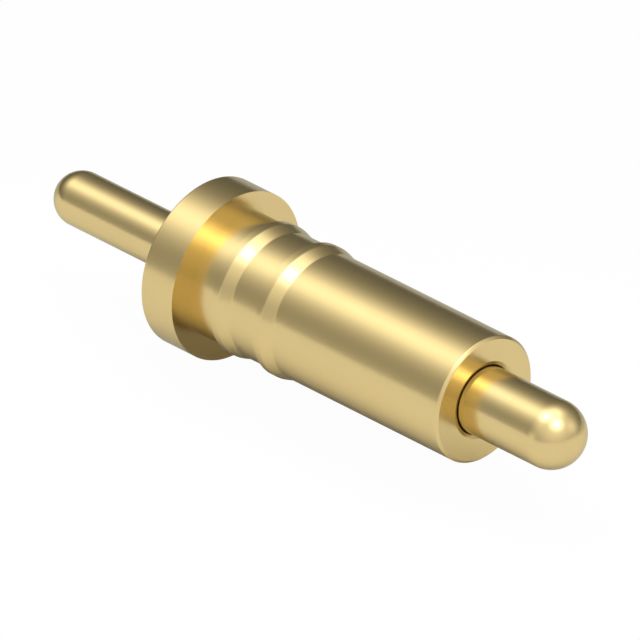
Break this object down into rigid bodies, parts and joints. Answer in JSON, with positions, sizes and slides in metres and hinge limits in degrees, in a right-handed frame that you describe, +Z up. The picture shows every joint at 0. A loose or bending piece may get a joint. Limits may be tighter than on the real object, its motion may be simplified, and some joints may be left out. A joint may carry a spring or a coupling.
{
  "type": "pogo pin",
  "caption": "Gold-plated spring-loaded contact pin: round solder tail, seating flange, press-fit barbs and a sprung plunger with a domed tip that presses on a facing pad.",
  "frame": {"origin": "on the pin's axis, in the plane of the flange's tail-side face that seats on the board", "axes": "+X along the pin's axis from the solder tail to the contact tip, +Z up as the pin lies, +Y to its left"},
  "size_m": [0.0081, 0.002, 0.002],
  "materials": {
    "barrel_plating": "bright gold plating over nickel on turned brass, with faint turning marks",
    "plunger_plating": "bright gold plating over nickel on turned brass, polished tip",
    "spring_wire": "thin gold flash on drawn stainless spring wire, ground ends bare"
  },
  "bodies": {
    "barrel": {"barrel": "barrel_plating", "spring": "spring_wire"},
    "plunger": {"plunger": "plunger_plating"}
  },
  "joints": [
    {"name": "plunger_stroke", "type": "slide", "parent": "barrel", "child": "plunger", "axis": [-1, 0, 0], "range_m": [0, 0.0012], "stiffness_N_per_m": 375, "springref_m": -0.0007, "deforming": ["spring"]}
  ]
}
